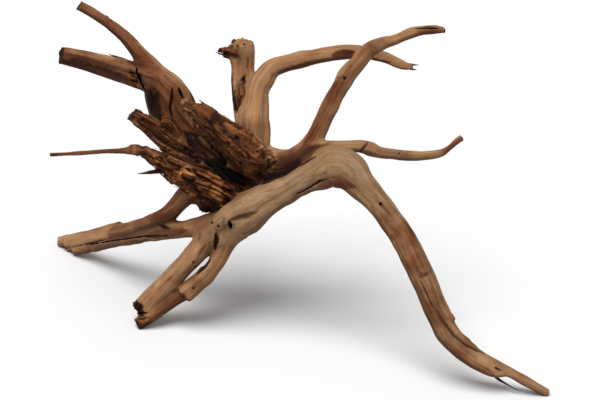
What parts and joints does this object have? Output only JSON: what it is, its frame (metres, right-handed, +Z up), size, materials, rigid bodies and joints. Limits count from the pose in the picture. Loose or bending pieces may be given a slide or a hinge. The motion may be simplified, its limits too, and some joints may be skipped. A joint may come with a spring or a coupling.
{
  "type": "aquarium driftwood",
  "caption": "Branching root driftwood for an aquarium: one grown piece with curving limbs, a torn hollow crown and cut stubs, standing on its own limb ends.",
  "frame": {"origin": "middle of the bounding box on the plane that the wood stands on", "axes": "+Z up, +X along the wood's length towards the tip of the long right limb, front towards -Y"},
  "size_m": [0.4439, 0.1989, 0.2802],
  "materials": {
    "wood": "dry, weathered, dull brown with lengthwise grain"
  },
  "bodies": {
    "root": {"driftwood": "wood"}
  },
  "joints": []
}
